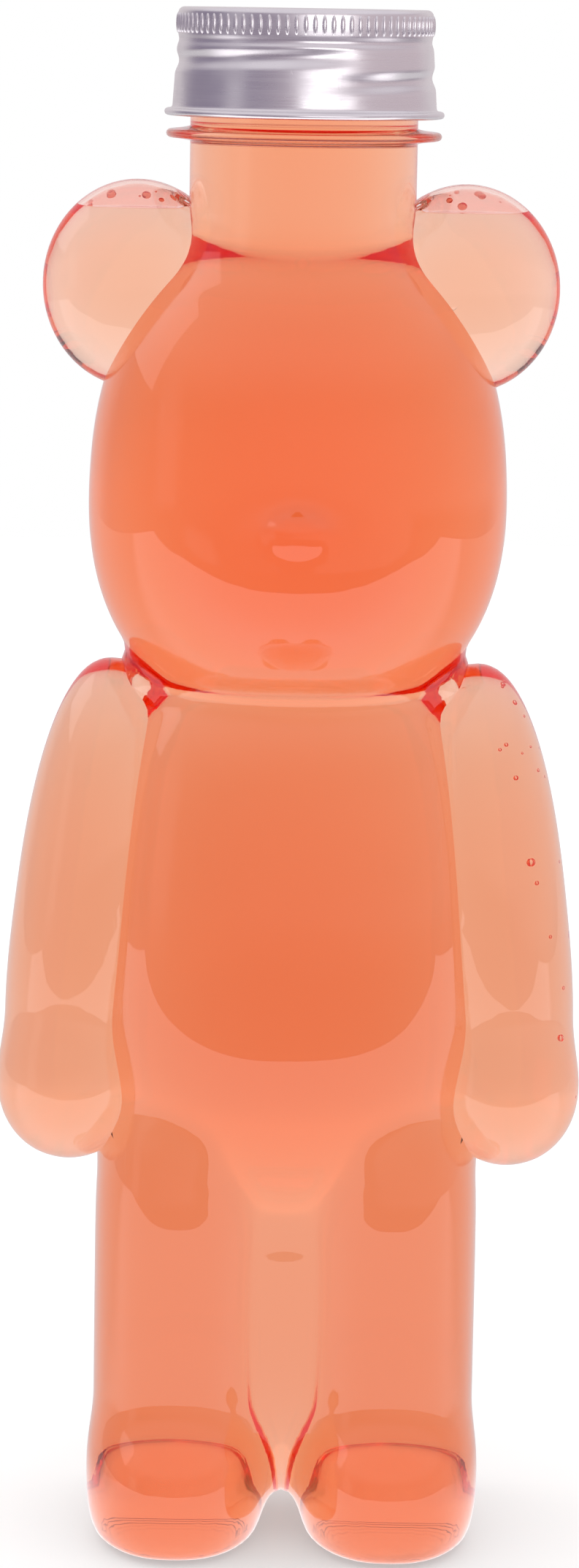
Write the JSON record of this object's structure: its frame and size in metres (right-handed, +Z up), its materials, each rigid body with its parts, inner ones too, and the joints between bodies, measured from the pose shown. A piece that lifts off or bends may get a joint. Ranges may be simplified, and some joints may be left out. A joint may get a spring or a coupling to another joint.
{
  "type": "screw-cap drinks bottle",
  "caption": "Bear-shaped clear plastic drinks bottle on two feet, full of orange drink, closed by an aluminium screw cap with a foam liner.",
  "frame": {"origin": "on the table, below the middle of the neck, midway across the bottle's width and depth", "axes": "+Z up along the neck's axis, -Y the way the bear faces, +X the bear's own left"},
  "size_m": [0.092, 0.064, 0.245],
  "materials": {
    "clear_plastic": "gloss",
    "orange_drink": "gloss",
    "foam_liner": "matte",
    "aluminium_sheet": "satin"
  },
  "bodies": {
    "bottle": {"bear_body": "clear_plastic", "neck_finish": "clear_plastic", "drink": "orange_drink"},
    "liner": {"cap_liner": "foam_liner"},
    "cap": {"cap_shell": "aluminium_sheet"}
  },
  "joints": [
    {"name": "cap_lift", "type": "slide", "parent": "bottle", "child": "liner", "axis": [0, 0, 1], "range_m": [0, 0.017]},
    {"name": "cap_turn", "type": "hinge", "parent": "liner", "child": "cap", "pos_m": [0, 0, 0.2366], "axis": [0, 0, 1], "range_deg": [0, 1440]}
  ],
  "couplings": [
    {"joint": "cap_lift", "follows": "cap_turn", "m_per_rad": 0.00066845}
  ]
}
